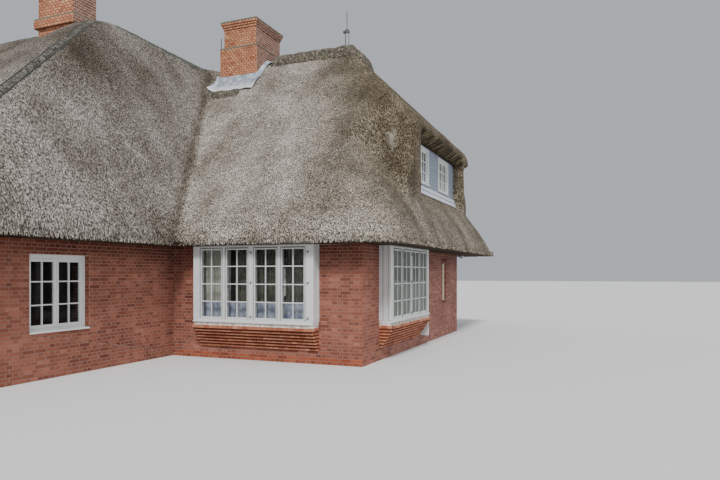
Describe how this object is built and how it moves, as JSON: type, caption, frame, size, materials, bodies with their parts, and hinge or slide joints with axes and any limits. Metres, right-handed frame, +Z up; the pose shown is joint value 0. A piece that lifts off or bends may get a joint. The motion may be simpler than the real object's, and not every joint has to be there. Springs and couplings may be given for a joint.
{
  "type": "thatched cottage",
  "caption": "Brick cottage with a main house and a wing under one rounded thatched roof, box bay windows, a hooded dormer, brick chimneys and a covered corner porch.",
  "frame": {"origin": "middle of the roof's outline in plan, at the level of the ground", "axes": "+Z up, +X to the right along the wing's front window wall, +Y towards the back of the house"},
  "size_m": [15.75, 16.03, 8.73],
  "materials": {
    "brick": "fired clay brick, matte",
    "chimney_brick": "orange fired clay brick, matte",
    "thatch": "weathered water reed",
    "ridge_cap": "weathered sod and heather",
    "white_joinery": "white gloss paint on wood",
    "glass": "clear window glass",
    "lead": "dull sheet lead",
    "grey_boards": "blue-grey painted boards",
    "timber": "dark stained wood",
    "floor_slab": "cast floor, matte",
    "metal": "galvanised"
  },
  "bodies": {
    "root": {"front_wall": "brick", "right_wall": "brick", "porch_back_wall": "brick", "porch_side_wall": "brick", "back_wall": "brick", "wing_left_wall": "brick", "main_back_wall": "brick", "main_left_wall": "brick", "main_front_wall": "brick", "main_right_wall": "brick", "front_bay_base": "brick", "right_bay_base": "brick", "wing_chimney_stack": "chimney_brick", "wing_chimney_shaft": "chimney_brick", "main_chimney_stack": "chimney_brick", "main_chimney_shaft": "chimney_brick", "wing_thatch": "thatch", "main_thatch": "thatch", "wing_ridge_cap": "ridge_cap", "main_ridge_cap": "ridge_cap", "cross_ridge_cap": "ridge_cap", "main_hip_cap": "ridge_cap", "front_bay_frame": "white_joinery", "right_bay_frame": "white_joinery", "slit_window": "white_joinery", "dormer_window_near": "white_joinery", "dormer_window_far": "white_joinery", "main_right_window": "white_joinery", "main_front_window_right": "white_joinery", "main_front_window_left": "white_joinery", "main_left_window_front": "white_joinery", "main_left_window_back": "white_joinery", "main_back_window": "white_joinery", "back_window_left": "white_joinery", "back_window_right": "white_joinery", "entrance_door": "white_joinery", "front_bay_glass": "glass", "right_bay_glass": "glass", "chimney_apron": "lead", "dormer_sill": "lead", "dormer_wall": "grey_boards", "porch_post": "timber", "porch_side_beam": "timber", "porch_rear_beam": "timber", "attic_floor": "timber", "ground_floor": "floor_slab", "ridge_mast": "metal", "eave_lamp": "metal"}
  },
  "joints": []
}
